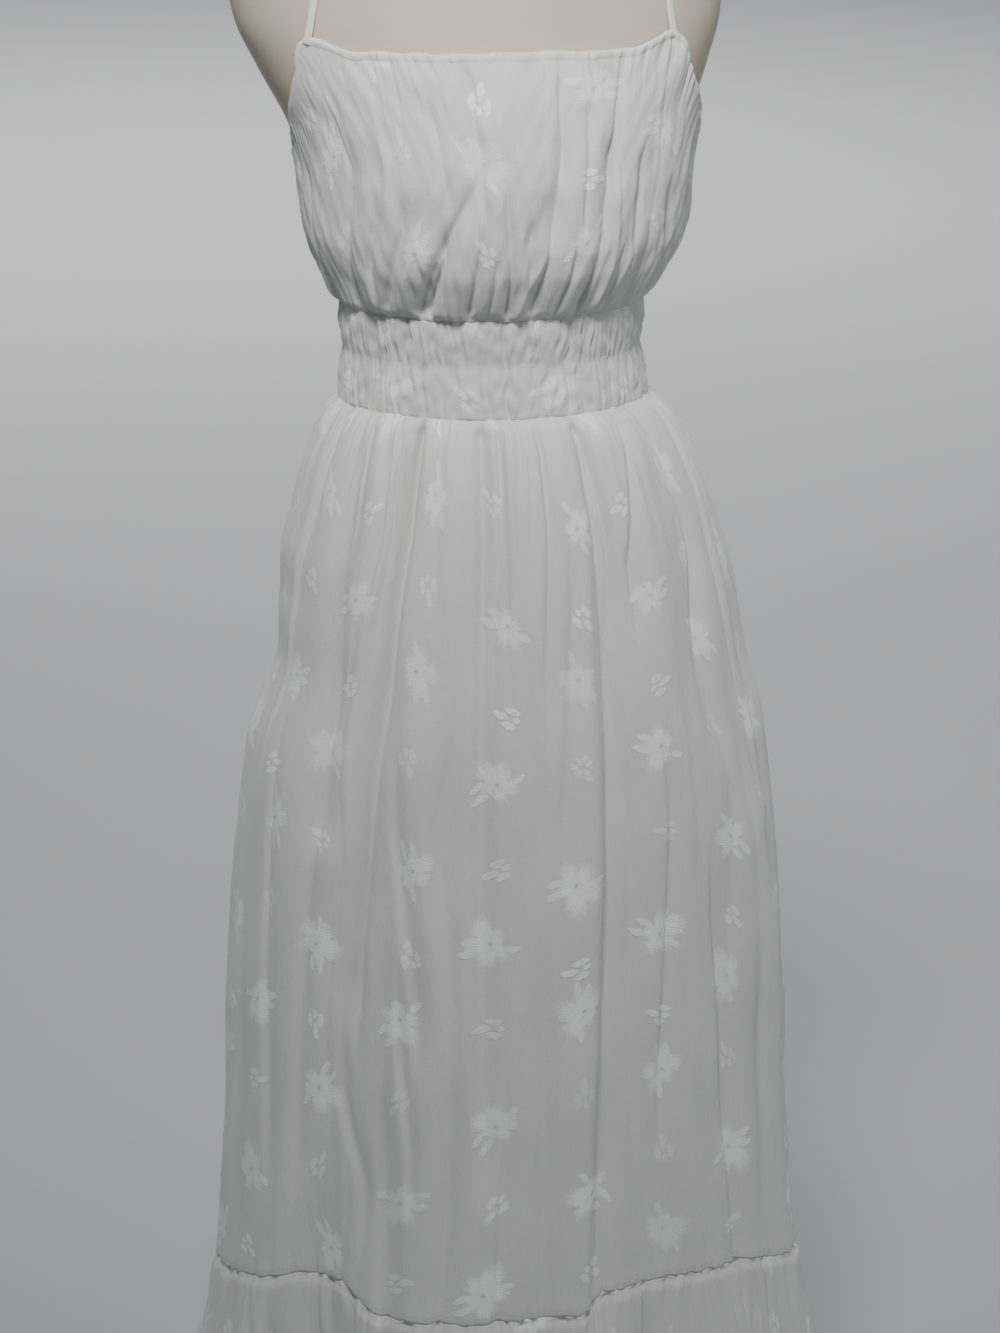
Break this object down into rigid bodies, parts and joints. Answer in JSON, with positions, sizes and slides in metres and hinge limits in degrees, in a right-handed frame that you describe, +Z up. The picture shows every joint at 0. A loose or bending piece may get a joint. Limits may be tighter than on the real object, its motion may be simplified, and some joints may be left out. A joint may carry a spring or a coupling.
{
  "type": "maxi dress on an armless dress form",
  "caption": "Sleeveless maxi dress with thin straps, gathered bodice, elastic waistband and hem flounce, worn by a smooth armless dress form on a round stand.",
  "frame": {"origin": "centre of the stand's flat underside, on the floor", "axes": "+Z up, the front of the dress faces -Y, +X is the wearer's left"},
  "size_m": [0.5866, 0.3969, 1.5083],
  "materials": {
    "cloth": "soft white cloth with tone on tone satin flowers",
    "trim": "cream woven trim",
    "form": "smooth beige satin paint over moulded plastic",
    "stand": "satin grey powder coat"
  },
  "bodies": {
    "root": {"bodice_front": "cloth", "bodice_back": "cloth", "neck_binding_front": "trim", "neck_binding_back": "trim", "waistband_front": "cloth", "waistband_back": "cloth", "skirt_front": "cloth", "skirt_back": "cloth", "flounce_front": "cloth", "flounce_back": "cloth", "strap_left": "trim", "strap_right": "trim", "form_torso": "form", "form_neck_cap": "form", "form_collar": "stand", "stand_pole": "stand", "stand_hub": "stand", "stand_base": "stand"}
  },
  "joints": []
}
